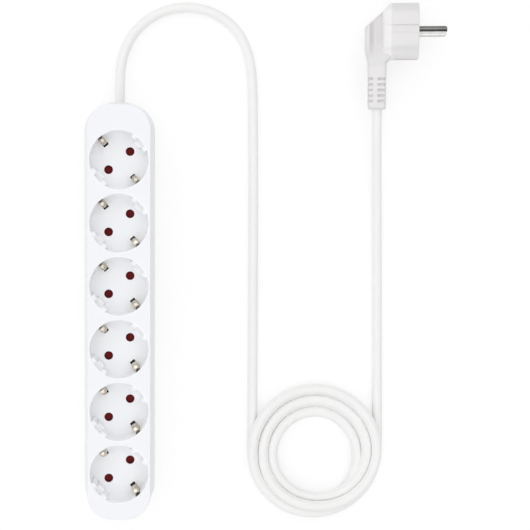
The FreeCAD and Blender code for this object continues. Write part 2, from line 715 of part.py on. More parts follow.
def make_shutter_spring(number):
    """The torsion spring round the pivot, with one leg out to the plate's stud."""
    name = f"ShutterSpring{number}"
    helix = doc.addObject("Part::Helix", name + "Helix")
    bind(helix, Radius="spring_radius", Pitch="spring_pitch", Height="spring_pitch * spring_turns")
    wire = doc.addObject("Part::Circle", name + "Wire")
    bind(wire, Radius="spring_wire")
    place(wire, "spring_radius", "0", "0", "90", X_AXIS)
    coil = doc.addObject("Part::Sweep", name + "Coil")
    coil.Sections = [wire]
    coil.Spine = (helix, ["Edge1"])
    coil.Solid = True
    coil.Frenet = True
    fixed_leg = cylinder(name + "FixedLeg", "spring_wire", "stud_place - stud_radius - spring_radius",
                         "spring_radius", angle="90", axis=Y_AXIS)
    reach = "shutter_radius - 3 - spring_radius"
    free_leg = cylinder(name + "FreeLeg", "spring_wire", reach, "spring_radius",
                        z="spring_pitch * spring_turns", angle="90", axis=Y_AXIS)
    turned = place(group(name + "FreeEnd", free_leg), angle="360 * spring_turns")
    spring = fuse(name, coil, fixed_leg, turned)
    place(spring, "0", f"first_socket_y - {number - 1} * socket_pitch", f"{SHUTTER_BOTTOM} + spring_wire",
          "socket_turn + 90")
    return keep(spring, f"shutter_spring_{number}")


def make_shutter_plate():
    """The plate under the wells that keeps the six shutters and their springs in place."""
    body = new_body("ShutterPlate")
    middle = f"(first_socket_y + {LAST_SOCKET_Y}) / 2"
    outline = new_sketch(body, "PlateOutline", "plate_top - plate_thickness", middle)
    add_rounded_outline(outline, "((socket_count - 1) * socket_pitch + 2 * plate_end)", "plate_width", "4")
    extrude(body, "Pad", "Plate", outline, "plate_thickness")
    bites = new_sketch(body, "BossBites", "plate_top")
    for x, y in SCREW_PLACES[:-1]:
        add_circle(bites, "boss_radius + 0.4", x, y)
    extrude(body, "Pocket", "PlateBites", bites, "plate_thickness")
    studs = new_sketch(body, "StudCircles", "plate_top", "first_socket_y", "socket_turn")
    holes = new_sketch(body, "PlateHoleCircles", "plate_top", "first_socket_y", "socket_turn")
    slots = new_sketch(body, "PlateSlotOutlines", "plate_top", "first_socket_y", "socket_turn")
    add_circle(holes, "pivot_radius + 0.2")
    for side in ("-1", "1"):
        add_circle(studs, "stud_radius", "0", f"{side} * stud_place")
        add_circle(holes, "pin_hole_radius + 0.2", f"{side} * pin_spacing / 2")
        add_rectangle(slots, "-clip_slot_width / 2", "clip_slot_width / 2",
                      f"{side} * (clip_slot_inner + 0.9)", f"{side} * (clip_slot_inner + 3)")
    features = [extrude(body, "Pad", "Studs", studs, f"{FLOOR_UNDERSIDE} - plate_top"),
                extrude(body, "Pocket", "PlateHoles", holes, "plate_thickness"),
                extrude(body, "Pocket", "PlateSlots", slots, "plate_thickness")]
    row_of(body, "PlateRow", features, "socket_count")
    return keep(body, "shutter_plate")


# ---- the lead outside ----

# Points of the lead's axis from its clamped end to the coil, and from the coil to the plug.
STRIP_ROUTE = [(0, 126.8, 11), (0, 148, 11), (0.2, 171.5, 5.8), (12.3, 193.2, 3.7), (33.6, 205.5, 3.65),
               (58.2, 205.6, 3.65), (79.5, 193.4, 3.65), (91.7, 171.9, 3.65), (92.7, -78, 3.65)]
PLUG_ROUTE = [(181.7, -78, 3.65), (180.1, 74, 3.65), (178.9, 96, 8.2), (177.5, 117.5, 14.5),
              (177.5, 139.5, 14.5)]


def make_cord_coil():
    """The outer shape of the coil: a thick ring whose hole sits a little off its middle."""
    ring = cylinder("CoilDisc", "coil_radius", "coil_height")
    hole = cylinder("CoilHole", "coil_hole", "coil_height", y="-coil_hole_shift")
    rounded = fillet("Coil", cut("CoilRing", ring, hole), "coil_round", lambda e: e.BoundBox.ZLength < 0.01)
    place(rounded, "coil_x", "coil_y", "0")
    return keep(rounded, "cord_coil")


# ---- plug ----

def place_plug_part(target):
    return place(target, "plug_x", "plug_y", "plug_z", "-plug_tilt", Y_AXIS)


def plug_cylinder(name, radius, start, length, y="0", z="0"):
    """A cylinder along the plug's pin direction."""
    return cylinder(name, radius, length, start, y, z, "90", Y_AXIS)


def make_plug_handle():
    """The handle: its outline seen from the pins' side, narrowed to the neck from the other side."""
    body = new_body("PlugHandleOutlineBody")
    outline = new_sketch(body, "PlugHandleOutline", "-plug_flat")
    add_polygon(outline, [("-plug_block", "plug_bevel_radius + 3"),
                          ("-plug_block - plug_bevel", "plug_bevel_radius"),
                          ("-plug_back", "1.8"),
                          ("-plug_back", "-14"),
                          ("-neck_axis - neck_half", "-neck_start + 3"),
                          ("-neck_axis - neck_half", "-neck_start"),
                          ("-neck_axis + neck_half", "-neck_start"),
                          ("-neck_axis + neck_half", "-neck_start + 3"),
                          ("-plug_block", "-plug_radius + 1")])
    extrude(body, "Pad", "PlugHandleSlab", outline, "2 * plug_flat")
    side_body = new_body("PlugHandleSideBody")
    side = new_side_sketch(side_body, "PlugHandleSide")
    add_polygon(side, [("-neck_start", "-neck_half"), ("-12", "-handle_half"),
                       ("plug_radius", "-handle_half"), ("plug_radius", "handle_half"),
                       ("-12", "handle_half"), ("-neck_start", "neck_half")])
    extrude(side_body, "Pad", "PlugHandleSideSlab", side, "4 * plug_back", symmetric=True)
    return common("PlugHandle", body, side_body)


def make_face_blank(name):
    """A disc whose four sides are trimmed, which fills the seat in the plug's front."""
    disc = plug_cylinder(name + "Disc", "plug_radius - 2.5", "-4", "4")
    trim = box(name + "Trim", ("-4", "0"), ("-plug_radius + 3", "plug_radius - 3"),
               ("-plug_flat + 1.8", "plug_flat - 1.8"))
    return common(name, disc, trim)


def make_plug_body():
    """The moulded plug: a flatted round block, a bevel behind it and a handle that meets the neck."""
    whole, flats = ("-plug_radius", "plug_radius"), ("-plug_flat", "plug_flat")
    block = common("PlugBlock", plug_cylinder("PlugRound", "plug_radius", "-plug_block", "plug_block"),
                   box("PlugFlats", ("-plug_block", "0"), whole, flats))
    cone = doc.addObject("Part::Cone", "PlugConeSolid")
    bind(cone, Radius1="plug_bevel_radius", Radius2="plug_radius", Height="plug_bevel")
    place(cone, "-plug_block - plug_bevel", angle="90", axis=Y_AXIS)
    bevel_span = ("-plug_block - plug_bevel", "-plug_block")
    bevel = common("PlugBevel", cone, box("PlugBevelFlats", bevel_span, whole, flats))
    solid = fuse("PlugSolid", block, bevel, make_plug_handle())
    shell = fillet("PlugShell", solid, "1",
                   lambda e: e.BoundBox.XLength < 0.01 and abs(e.BoundBox.XMax) < 0.01)
    tools = [make_face_blank("PlugSeat"),
             plug_cylinder("PlugEarthHole", "earth_hole_radius", "-14", "14", "earth_hole_place")]
    contact = ("-plug_block + 3", "1")
    for i, side in enumerate((-1, 1)):
        tools.append(box(f"PlugGroove{i}", ("-plug_block", "1"), ("-2.9", "2.9"),
                         (f"{side} * plug_flat - 1.3", f"{side} * plug_flat + 1.3")))
        tools.append(box(f"PlugEarthSeat{i}", contact,
                         (f"{side} * plug_radius - 3", f"{side} * plug_radius + 3"), ("-4", "4")))
    return keep(place_plug_part(cut("Plug", shell, fuse("PlugTools", *tools))), "plug_body")


def make_plug_neck():
    """The plug's strain relief: a slotted sleeve that ends in a collar round the lead."""
    low, high = "-neck_axis - neck_half", "-neck_axis + neck_half"
    blank = box("NeckBlank", (low, high), ("-neck_end", "-neck_start"), ("-neck_half", "neck_half"))
    rounded = fillet("NeckRounded", blank, "2.6", lambda e: e.BoundBox.YLength > 1)
    columns = (("0.3", "3.5"), ("7.3", "12.1"))
    faces = (("neck_half - 2", "neck_half + 1"), ("-neck_half - 1", "-neck_half + 2"))
    tools = []
    for row in range(5):
        start = f"-neck_end + 4.2 + {row} * 3.8"
        for column, (left, right) in enumerate(columns):
            for face, depth in enumerate(faces):
                tools.append(box(f"NeckSlot{row}{column}{face}", (f"{low} + {left}", f"{low} + {right}"),
                                 (start, f"{start} + 1.7"), depth))
    neck = cut("Neck", rounded, fuse("NeckTools", *tools))
    return keep(place_plug_part(neck), "plug_strain_relief")


def make_plug_face():
    """The hard disc that holds the pins and the earth hole at the plug's face."""
    places = ("-pin_spacing / 2", "pin_spacing / 2")
    holes = [plug_cylinder(f"FacePinHole{i}", "pin_root_radius", "-4", "4", z=across)
             for i, across in enumerate(places)]
    holes.append(plug_cylinder("FaceEarthHole", "earth_hole_radius", "-4", "4", "earth_hole_place"))
    face = cut("Face", make_face_blank("FaceBlank"), fuse("FaceHoles", *holes))
    return keep(place_plug_part(face), "plug_face")


def make_plug_pin(label, side):
    """A round pin with a domed tip, and the thinner root that the face disc holds."""
    across = f"{side} * pin_spacing / 2"
    root = plug_cylinder(label + "_root", "pin_root_radius", "-4", "5", z=across)
    shank = plug_cylinder(label + "_shank", "plug_pin_radius", "0", "plug_pin_length", z=across)
    tip = value("plug_pin_length")
    domed = fillet(label + "_domed", shank, "1.5", lambda e: abs(e.BoundBox.XMin - tip) < 0.01)
    return keep(place_plug_part(fuse(label + "_solid", root, domed)), label)


def make_plug_earth_contacts():
    """Two brass strips let into the sides of the plug's block."""
    strips = []
    for i, side in enumerate((-1, 1)):
        middle = f"{side} * (plug_radius - 2.5)"
        strips.append(box(f"EarthStrip{i}", ("-plug_block + 3", "-1.5"),
                          (f"{middle} - 0.5", f"{middle} + 0.5"), ("-3", "3")))
    return keep(place_plug_part(group("EarthStrips", *strips)), "plug_earth_contacts")


# ---- assembly ----

make_top_cover()
make_base()
make_feet()
make_screws("cover_screws", SCREW_PLACES, "foot_height + 0.3", "0", "screw_radius",
            "screw_tip - foot_height - 0.3 - head_height")
make_cord_bushing()
make_cord_clamp()
make_screws("clamp_screws", [(f"({side} * clamp_span)", "clamp_y") for side in (-1, 1)],
            "clamp_top + head_height", "180", "1.2", "clamp_top - cord_height + 6")
make_pin_bar("live_bar", 1)
make_pin_bar("neutral_bar", -1)
make_earth_bar()
make_core_wires()
make_shutter_plate()
for socket_number in range(1, int(value("socket_count")) + 1):
    make_shutter(socket_number)
    make_shutter_spring(socket_number)
tube("cord_to_coil", STRIP_ROUTE, "cord_radius")
tube("cord_to_plug", PLUG_ROUTE, "cord_radius")
make_cord_coil()
make_plug_body()
make_plug_neck()
make_plug_face()
make_plug_pin("plug_pin_upper", 1)
make_plug_pin("plug_pin_lower", -1)
make_plug_earth_contacts()
doc.recompute()

failed = [o.Label for o in doc.Objects if {"Invalid", "Error"} & set(o.State)]
failed += [part.Label for part in parts if part.Shape.isNull() or not part.Shape.isValid()]
if failed:
    raise RuntimeError("these did not build: " + ", ".join(failed))

os.makedirs("parts", exist_ok=True)
for part in parts:
    part.Shape.exportStep(os.path.join("parts", part.Label + ".step"))
    bounds = part.Shape.BoundBox
    print(f"{part.Label}: {len(part.Shape.Solids)} solids, volume {part.Shape.Volume:.1f}, "
          f"x {bounds.XMin:.2f} to {bounds.XMax:.2f}, y {bounds.YMin:.2f} to {bounds.YMax:.2f}, "
          f"z {bounds.ZMin:.2f} to {bounds.ZMax:.2f}")
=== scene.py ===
# %% [markdown]
# # A six-way power strip with its lead and plug
#
# A CAD program has already worked out where every part of this power strip is. This
# lesson dresses that model: it gives each part a finish, and it builds finer versions
# of the parts whose shape the CAD model only sketches. All lengths are in metres. The
# strip lies along Y, Z is up, and the lead leaves the +Y end.

import json
import math

import bpy
import numpy as np
from mathutils import Euler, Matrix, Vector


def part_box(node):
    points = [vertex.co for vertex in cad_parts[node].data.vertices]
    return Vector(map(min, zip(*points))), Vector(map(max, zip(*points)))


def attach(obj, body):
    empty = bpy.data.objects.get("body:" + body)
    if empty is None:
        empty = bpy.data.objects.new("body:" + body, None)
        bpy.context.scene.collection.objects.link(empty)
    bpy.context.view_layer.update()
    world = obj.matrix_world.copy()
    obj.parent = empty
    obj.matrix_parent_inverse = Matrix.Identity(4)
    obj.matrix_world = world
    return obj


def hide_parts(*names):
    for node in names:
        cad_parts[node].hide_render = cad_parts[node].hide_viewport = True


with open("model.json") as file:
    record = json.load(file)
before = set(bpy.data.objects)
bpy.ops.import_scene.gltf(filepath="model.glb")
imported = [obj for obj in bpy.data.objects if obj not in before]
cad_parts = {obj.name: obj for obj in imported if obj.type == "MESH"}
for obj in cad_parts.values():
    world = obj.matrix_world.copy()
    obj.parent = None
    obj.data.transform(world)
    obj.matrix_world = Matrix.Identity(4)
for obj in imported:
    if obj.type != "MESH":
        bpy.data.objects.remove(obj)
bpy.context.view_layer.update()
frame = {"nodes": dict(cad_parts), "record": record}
nodes = frame["nodes"]
scene = bpy.context.scene
scene.view_settings.view_transform = "Standard"
MM = 0.001

# %% [markdown]
# Six sockets lie in a row along Y, one pitch apart. The two pin holes of each lie on a
# slanting line through its middle, and its two earth clips at right angles to that line.

# %% The row of sockets, in millimetres and radians
SOCKET_COUNT, FIRST_SOCKET, SOCKET_PITCH = 6, 102.0, 42.0
PIN_SPACING = 19.0
PIN_LINE, CLIP_TURN = math.radians(40.4), math.radians(130.4)
print(f"{SOCKET_COUNT} sockets, {SOCKET_PITCH} mm apart")

# %% [markdown]
# ## Camera
#
# The object is seen from almost straight above, from a little under a metre away. A long
# lens keeps the walls of the strip nearly upright, so only a sliver of each side shows.

# %% Camera
camera_data = bpy.data.cameras.new("overhead_camera")
camera_data.sensor_width = 36.0
camera_data.lens = 84.57
camera = bpy.data.objects.new("overhead_camera", camera_data)
camera.location = (0.0140, 0.0720, 0.8714)
camera.rotation_euler = Euler([math.radians(a) for a in (-2.75, -5.72, 0.29)], "XYZ")
scene.collection.objects.link(camera)
scene.camera = camera
print("camera", tuple(round(c, 3) for c in camera.location))

# %% [markdown]
# ## The lead
#
# A mains lead is a fixed length of springy round flex. It comes out of the end wall level,
# sinks to the table under its own weight, swings round in one wide arch, runs straight
# down beside the strip, lies in a coil of three and a half turns, and runs up again to
# the plug. One smooth curve does all of it: a NURBS spline that is pulled towards its
# control points without having to pass through them, which is how a stiff cable behaves.

# %% Control points of the lead outside the coil, in millimetres
TO_COIL = [(0, 126.8, 11), (0, 148, 11), (0.8, 173.6, 5.8), (11.8, 194.9, 3.7),
           (33.2, 208, 3.65), (58.7, 208.4, 3.65), (79.3, 196.7, 3.65),
           (89.4, 177.6, 3.65), (92.7, 149.7, 3.65), (92.7, -78, 3.65)]
TO_PLUG = [(181.7, -78, 3.65), (180.35, 51.5, 3.65), (180.1, 74, 3.65),
           (178.9, 96, 8.2), (177.5, 117.5, 14.5), (177.5, 139.5, 14.5)]
CORD_DIAMETER = 0.0072
print(f"{len(TO_COIL)} points before the coil, {len(TO_PLUG)} after it")

# %% [markdown]
# A coil that was wound by hand is never a perfect spring. Each quarter turn gets its own
# radius and height below, where a strand rides up over the one beneath it, and the
# points between them follow a smooth blend of their four neighbours.

# %% Control points of the coil
COIL_CENTRE = np.array([136.6, -101.6])
COIL_RADIUS = np.array([44.2, 37.2, 30.2, 28.2, 29.9, 31.4, 36.8, 36.6, 36.9, 37.2,
                        43.8, 44.9, 44.4, 42.7, 45.0])
COIL_HEIGHT = np.array([3.65, 3.65, 6, 3.65, 7.8, 8, 8.9, 3.65, 9.7, 12.4,
                        10.9, 5, 10.9, 8, 3.65])
POINTS_PER_QUARTER = 6
CORNER_ALLOWANCE = 1.0086


def smooth_between(values, steps):
    """Catmull-Rom blend: between two neighbours the value follows the cubic whose slope at
    each of them is half the difference of the values on either side."""
    padded = np.concatenate([values[:1], values, values[-1:]])
    before, start, end, after = (padded[i:len(values) - 1 + i, None] for i in range(4))
    t = np.arange(steps)[None, :] / steps
    blend = (start + t * (end - before) / 2
             + t ** 2 * (before - 2.5 * start + 2 * end - after / 2)
             + t ** 3 * (1.5 * (start - end) + (after - before) / 2))
    return np.concatenate([blend.ravel(), values[-1:]])


def coil_points():
    """Centre plus radius times (cosine, sine) of an angle that grows from 180 degrees in
    equal steps. The radius is a little larger than wanted, as the spline cuts each corner."""
    radius = smooth_between(COIL_RADIUS, POINTS_PER_QUARTER) * CORNER_ALLOWANCE
    height = np.maximum(smooth_between(COIL_HEIGHT, POINTS_PER_QUARTER), COIL_HEIGHT.min())
    angle = math.pi + np.arange(len(radius)) * math.pi / 2 / POINTS_PER_QUARTER
    return np.column_stack([COIL_CENTRE[0] + radius * np.cos(angle),
                            COIL_CENTRE[1] + radius * np.sin(angle), height])


cord_points = np.concatenate([TO_COIL, coil_points(), TO_PLUG]) * MM
print(f"{len(cord_points)} control points in all")

# %% [markdown]
# The curve gets its thickness from a round bevel of one metre, scaled at each point by
# the lead's radius there.

# %% The lead's curve
cord_curve = bpy.data.curves.new("flex_lead", "CURVE")
cord_curve.dimensions = "3D"
cord_spline = cord_curve.splines.new("NURBS")
cord_spline.points.add(len(cord_points) - 1)
cord_spline.points.foreach_set(
    "co", np.column_stack([cord_points, np.ones(len(cord_points))]).ravel())
cord_spline.order_u = 3
cord_spline.use_endpoint_u = True
cord_spline.resolution_u = 12
cord_spline.points.foreach_set("radius", np.full(len(cord_points), CORD_DIAMETER / 2))
cord_curve.bevel_depth = 1.0
cord_curve.bevel_resolution = 6
cord_curve.use_fill_caps = True
lead = bpy.data.objects.new("flex_lead", cord_curve)
scene.collection.objects.link(lead)
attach(lead, "strip")
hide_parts("cord_to_coil", "cord_coil", "cord_to_plug")
print("spline order", cord_spline.order_u)

# %% [markdown]
# ## Finishes
#
# Almost everything that shows is moulded plastic or bright metal. A real moulding is
# never one flat colour: it has a faint mottle from the melt, a fine grain from the
# tool's surface, and a gloss that varies from place to place. One helper makes that
# recipe, and each finish only says how strong each part of it is.

# %% Helpers for node materials


def add_node(tree, kind, **inputs):
    """A node with some of its sockets set by name."""
    node = tree.nodes.new(kind)
    for name, value in inputs.items():
        node.inputs[name.replace("_", " ")].default_value = value
    return node


def mottle(tree, place, scale, detail=3.0, stretch=(1, 1, 1)):
    """Noise in the object's own coordinates, stretched along an axis where asked."""
    mapping = add_node(tree, "ShaderNodeMapping", Scale=stretch)
    noise = add_node(tree, "ShaderNodeTexNoise", Scale=scale, Detail=detail)
    tree.links.new(place, mapping.inputs["Vector"])
    tree.links.new(mapping.outputs["Vector"], noise.inputs["Vector"])
    return noise.outputs["Fac"]


def ramp(tree, factor, stops):
    """A colour ramp from a list of (position, colour)."""
    node = tree.nodes.new("ShaderNodeValToRGB")
    elements = node.color_ramp.elements
    elements[0].position, elements[0].color = stops[0][0], (*stops[0][1], 1)
    elements[1].position, elements[1].color = stops[-1][0], (*stops[-1][1], 1)
    for position, colour in stops[1:-1]:
        elements.new(position).color = (*colour, 1)
    tree.links.new(factor, node.inputs["Fac"])
    return node.outputs["Color"]


def spread(tree, factor, low, high):
    """Rescale a factor of about 0.3 to 0.7 to run between two values."""
    node = add_node(tree, "ShaderNodeMapRange")
    node.inputs["From Min"].default_value, node.inputs["From Max"].default_value = 0.3, 0.7
    node.inputs["To Min"].default_value, node.inputs["To Max"].default_value = low, high
    tree.links.new(factor, node.inputs["Value"])
    return node.outputs["Result"]


def bump(tree, height, distance):
    """A bump as deep as the distance, where the height runs from 0 to 1."""
    node = add_node(tree, "ShaderNodeBump", Distance=distance)
    tree.links.new(height, node.inputs["Height"])
    return node.outputs["Normal"]


def new_finish(name, **sockets):
    """An empty material: its node tree, its shader, and Object coordinates."""
    material = bpy.data.materials.new(name)
    material.use_nodes = True
    tree = material.node_tree
    shader = tree.nodes["Principled BSDF"]
    for socket, value in sockets.items():
        shader.inputs[socket.replace("_", " ")].default_value = value
    place = tree.nodes.new("ShaderNodeTexCoord").outputs["Object"]
    return material, tree, shader, place


def moulded(name, shade, vary=0.02, rough=(0.3, 0.4), grain=4e-6, grain_scale=2500,
            patch_scale=60, **sockets):
    """Moulded plastic or rubber: a base shade that drifts a little from patch to patch,
    a roughness that drifts too, and a fine grain as bump."""
    material, tree, shader, place = new_finish(name, **sockets)
    patches = mottle(tree, place, patch_scale)
    darker = tuple(c * (1 - vary) for c in shade)
    tree.links.new(ramp(tree, patches, [(0.35, darker), (0.65, shade)]),
                   shader.inputs["Base Color"])
    cloud = mottle(tree, place, patch_scale * 3)
    tree.links.new(spread(tree, cloud, *rough), shader.inputs["Roughness"])
    fine = mottle(tree, place, grain_scale, detail=1.0)
    tree.links.new(bump(tree, fine, grain), shader.inputs["Normal"])
    return material


def metal(name, shade, stain, rough=(0.2, 0.35), brush=(1, 1, 1), scratch=2e-6,
          stain_scale=180, line_scale=1200):
    """Bare or plated metal: stains where it has dulled, and fine lines left by drawing
    or turning it, which are noise squeezed along one axis."""
    material, tree, shader, place = new_finish(name, Metallic=1.0)
    dull = mottle(tree, place, stain_scale, detail=6.0)
    tree.links.new(ramp(tree, dull, [(0.4, stain), (0.6, shade)]), shader.inputs["Base Color"])
    lines = mottle(tree, place, line_scale, detail=4.0, stretch=brush)
    tree.links.new(spread(tree, lines, *rough), shader.inputs["Roughness"])
    tree.links.new(bump(tree, lines, scratch), shader.inputs["Normal"])
    return material


def multiply_shade(material, factor):
    """Multiply whatever feeds the base colour by a factor that varies over the surface.
    A Mix node's inputs 6 and 7 and its output 2 are the ones that carry colours."""
    tree = material.node_tree
    socket = tree.nodes["Principled BSDF"].inputs["Base Color"]
    node = tree.nodes.new("ShaderNodeMix")
    node.data_type, node.blend_type = "RGBA", "MULTIPLY"
    node.inputs["Factor"].default_value = 1.0
    tree.links.new(socket.links[0].from_socket, node.inputs[6])
    tree.links.new(factor, node.inputs[7])
    tree.links.new(node.outputs[2], socket)


def calculate(tree, operation, *values):
    """A math node whose inputs are sockets or plain numbers."""
    node = tree.nodes.new("ShaderNodeMath")
    node.operation = operation
    for socket, value in zip(node.inputs, values):
        if isinstance(value, (int, float)):
            socket.default_value = value
        else:
            tree.links.new(value, socket)
    return node.outputs[0]


def position(tree):
    """The three parts of a point's place in the object's own coordinates."""
    place = next(node for node in tree.nodes if node.type == "TEX_COORD").outputs["Object"]
    parts = tree.nodes.new("ShaderNodeSeparateXYZ")
    tree.links.new(place, parts.inputs[0])
    return parts.outputs


def place_in_socket(tree):
    """A point's place seen from the middle of the nearest socket: along the line through
    its two pins, to the side of that line, and up. Its place along the row is rounded to
    whole pitches, kept between the first socket and the last, and taken off. What is left
    is turned by the slant of the pins' line."""
    across, along, height = position(tree)
    first, pitch = FIRST_SOCKET * MM, SOCKET_PITCH * MM
    steps = calculate(tree, "MULTIPLY_ADD", along, -1 / pitch, first / pitch)
    steps = calculate(tree, "MAXIMUM", calculate(tree, "ROUND", steps), 0)
    steps = calculate(tree, "MINIMUM", steps, SOCKET_COUNT - 1)
    beyond = calculate(tree, "SUBTRACT", along,
                       calculate(tree, "MULTIPLY_ADD", steps, -pitch, first))
    cosine, sine = math.cos(PIN_LINE), math.sin(PIN_LINE)
    on_line = calculate(tree, "MULTIPLY_ADD", across, cosine,
                        calculate(tree, "MULTIPLY", beyond, sine))
    off_line = calculate(tree, "MULTIPLY_ADD", across, -sine,
                         calculate(tree, "MULTIPLY", beyond, cosine))
    return on_line, off_line, height


def distance(tree, a, b):
    """Square root of the sum of two squares."""
    squares = calculate(tree, "MULTIPLY_ADD", b, b, calculate(tree, "MULTIPLY", a, a))
    return calculate(tree, "SQRT", squares)


def distance_from_pin(tree, on_line, off_line):
    """Distance from the axis of the nearer of a socket's two pins, which lie at half their
    spacing to each side of its middle."""
    past_pin = calculate(tree, "SUBTRACT", calculate(tree, "ABSOLUTE", on_line),
                         PIN_SPACING * MM / 2)
    return distance(tree, past_pin, off_line)


def all_of(tree, *factors):
    """The product of some factors: 1 where every one of them is 1, and 0 elsewhere."""
    product = factors[0]
    for factor in factors[1:]:
        product = calculate(tree, "MULTIPLY", product, factor)
    return product


def darken_where(material, factor, share):
    """Take a share off the base colour where a factor is 1."""
    multiply_shade(material, calculate(material.node_tree, "MULTIPLY_ADD", factor, -share, 1))


def grey(level):
    """A grey of one level."""
    return (level, level, level)


print("helpers ready")

# %% [markdown]
# The housing is a hard glossy resin. Its recesses are painted paler than the outside, a painted
# light that takes out the shade inside them. The tops of the two keys on each recess's wall are
# painted a shade darker, most of all round the notch in their middle, and the bores that the
# pins go down are painted dark: painted shade and painted shadow where shade falls. All of this
# is worked out from a point's place in the nearest socket.

# %% Finish of the housing
PAINTED_LIGHT_REACH, PAINTED_LIGHT_RIM, OUTSIDE_PAINTED_RECESS = 0.04, (0.494, 0.51), (0.907, 0.907, 0.919)
INSIDE_RECESS, KEYS_FROM, KEY_TOPS_ABOVE, KEY_NOTCH_HALF = 0.01905, 0.0158, 0.0365, 0.004
KEY_TOP_PAINTED_SHADE, KEY_NOTCH_PAINTED_SHADE = 0.105, 0.10
BORE_RADIUS, BORE_TOP, BORE_PAINTED_SHADOW = 0.0031, 0.0223, (0.12, 0.05, 0.05)
housing = moulded("housing_white_resin", (0.972, 0.980, 0.999), vary=0.005,
                  rough=(0.32, 0.42))
tree = housing.node_tree
on_line, off_line, height = place_in_socket(tree)
from_axis = distance(tree, on_line, off_line)
share_of_reach = calculate(tree, "MULTIPLY", from_axis, 1 / PAINTED_LIGHT_REACH)
# Painted light: the recesses are painted paler than the outside, which takes out the shade
# inside them.
multiply_shade(housing, ramp(tree, share_of_reach,
                             [(PAINTED_LIGHT_RIM[0], grey(1)), (PAINTED_LIGHT_RIM[1], OUTSIDE_PAINTED_RECESS)]))
in_recess = calculate(tree, "LESS_THAN", from_axis, INSIDE_RECESS)
# Painted shade on the keys' tops, and more of it round the notch in their middle.
on_key_tops = calculate(tree, "GREATER_THAN", height, KEY_TOPS_ABOVE)
darken_where(housing, all_of(tree, in_recess, on_key_tops), KEY_TOP_PAINTED_SHADE)
at_keys = calculate(tree, "GREATER_THAN", calculate(tree, "ABSOLUTE", on_line), KEYS_FROM)
at_notch = calculate(tree, "LESS_THAN", calculate(tree, "ABSOLUTE", off_line), KEY_NOTCH_HALF)
darken_where(housing, all_of(tree, in_recess, at_keys, at_notch), KEY_NOTCH_PAINTED_SHADE)
# Painted shadow: the bores that the pins go down are painted dark.
from_pin = distance_from_pin(tree, on_line, off_line)
in_bore = all_of(tree, calculate(tree, "LESS_THAN", from_pin, BORE_RADIUS),
                 calculate(tree, "LESS_THAN", height, BORE_TOP))
multiply_shade(housing, ramp(tree, in_bore, [(0, grey(1)), (1, BORE_PAINTED_SHADOW)]))
print("housing ready")

# %% [markdown]
# The lead is soft PVC with a duller skin. Its sides are painted paler than its top, a painted
# light that takes out the shade between its strands: how far up its skin faces says which is
# which. The plug is a thicker PVC moulding that looks a shade warmer and greyer. Its body has a
# second version of its finish that also reads a tone stored at each point, which is painted
# light and shade: a painted highlight on the bevel, painted light on the block's lower side, and
# painted shade on the block's upper side and in the finger hollows.

# %% Finishes of the lead and the plug
lead_finish = moulded("lead_white_vinyl", (0.99, 0.985, 0.98), vary=0.01, rough=(0.42, 0.55),
                      grain=6e-6)
tree = lead_finish.node_tree
# Painted light: the lead's sides are painted paler than its top, which takes out the shade
# between its strands.
facing = add_node(tree, "ShaderNodeSeparateXYZ")
tree.links.new(add_node(tree, "ShaderNodeNewGeometry").outputs["Normal"], facing.inputs[0])
multiply_shade(lead_finish, ramp(tree, facing.outputs["Z"], [(0.3, grey(1)), (0.7, grey(0.89))]))
plug_finish = moulded("plug_white_vinyl", (0.78, 0.767, 0.77), vary=0.02, rough=(0.45, 0.6),
                      grain=8e-6, grain_scale=1800)
# A copy of the plug's finish whose colour is multiplied by the painted light and shade kept at
# each point of the body.
plug_painted_light_finish = plug_finish.copy()
plug_painted_light_finish.name = "plug_white_vinyl_painted_light"
painted_tone = plug_painted_light_finish.node_tree.nodes.new("ShaderNodeAttribute")
painted_tone.attribute_name = "painted_tone"
multiply_shade(plug_painted_light_finish, painted_tone.outputs["Fac"])
print("lead and plug ready")

# %% [markdown]
# A dark red shutter closes each pair of pin holes. Round the edge of the disc that shows it is
# painted darker: a painted shadow of the hole it lies under. The other plastics are plain.

# %% Finishes of the other plastics
SHUTTER_SHADOW_REACH = 0.004
shutter_finish = moulded("shutter_dark_red_nylon", (0.215, 0.0155, 0.019), vary=0.2,
                         rough=(0.6, 0.75), Specular_IOR_Level=0.08)
tree = shutter_finish.node_tree
# Painted shadow round the edge of each disc that shows under a pin hole.
from_pin = distance_from_pin(tree, *place_in_socket(tree)[:2])
share_of_reach = calculate(tree, "MULTIPLY", from_pin, 1 / SHUTTER_SHADOW_REACH)
multiply_shade(shutter_finish, ramp(tree, share_of_reach,
                                    [(0.35, grey(1)), (0.65, (0.62, 0.8, 0.8))]))
bushing_finish = moulded("bushing_white_nylon", (0.86, 0.862, 0.87), rough=(0.4, 0.5))
clamp_finish = moulded("clamp_grey_nylon", (0.55, 0.56, 0.58), rough=(0.45, 0.6))
foot_finish = moulded("foot_grey_rubber", (0.20, 0.20, 0.21), vary=0.15, rough=(0.7, 0.85),
                      grain=1e-5)
plate_finish = moulded("plate_black_nylon", (0.03, 0.03, 0.033), vary=0.1, rough=(0.5, 0.65),
                       Specular_IOR_Level=0.25)
brown_finish = moulded("core_brown_vinyl", (0.16, 0.055, 0.02), vary=0.1)
blue_finish = moulded("core_blue_vinyl", (0.02, 0.11, 0.42), vary=0.1)
print("plastics ready")

# %% [markdown]
# The earth core is green with a yellow stripe that winds round it. A wave texture across
# the core's length gives the stripe a hard edge.

# %% Finish of the earth core
earth_core_finish, tree, shader, place = new_finish("core_green_yellow_vinyl")
stripe = add_node(tree, "ShaderNodeTexWave", Scale=60.0, Distortion=1.5)
stripe.bands_direction = "DIAGONAL"
tree.links.new(place, stripe.inputs["Vector"])
green, yellow = (0.05, 0.30, 0.06), (0.75, 0.62, 0.03)
tree.links.new(ramp(tree, stripe.outputs["Fac"], [(0.48, green), (0.52, yellow)]),
               shader.inputs["Base Color"])
tree.links.new(spread(tree, mottle(tree, place, 300), 0.35, 0.5), shader.inputs["Roughness"])
print("earth core ready")
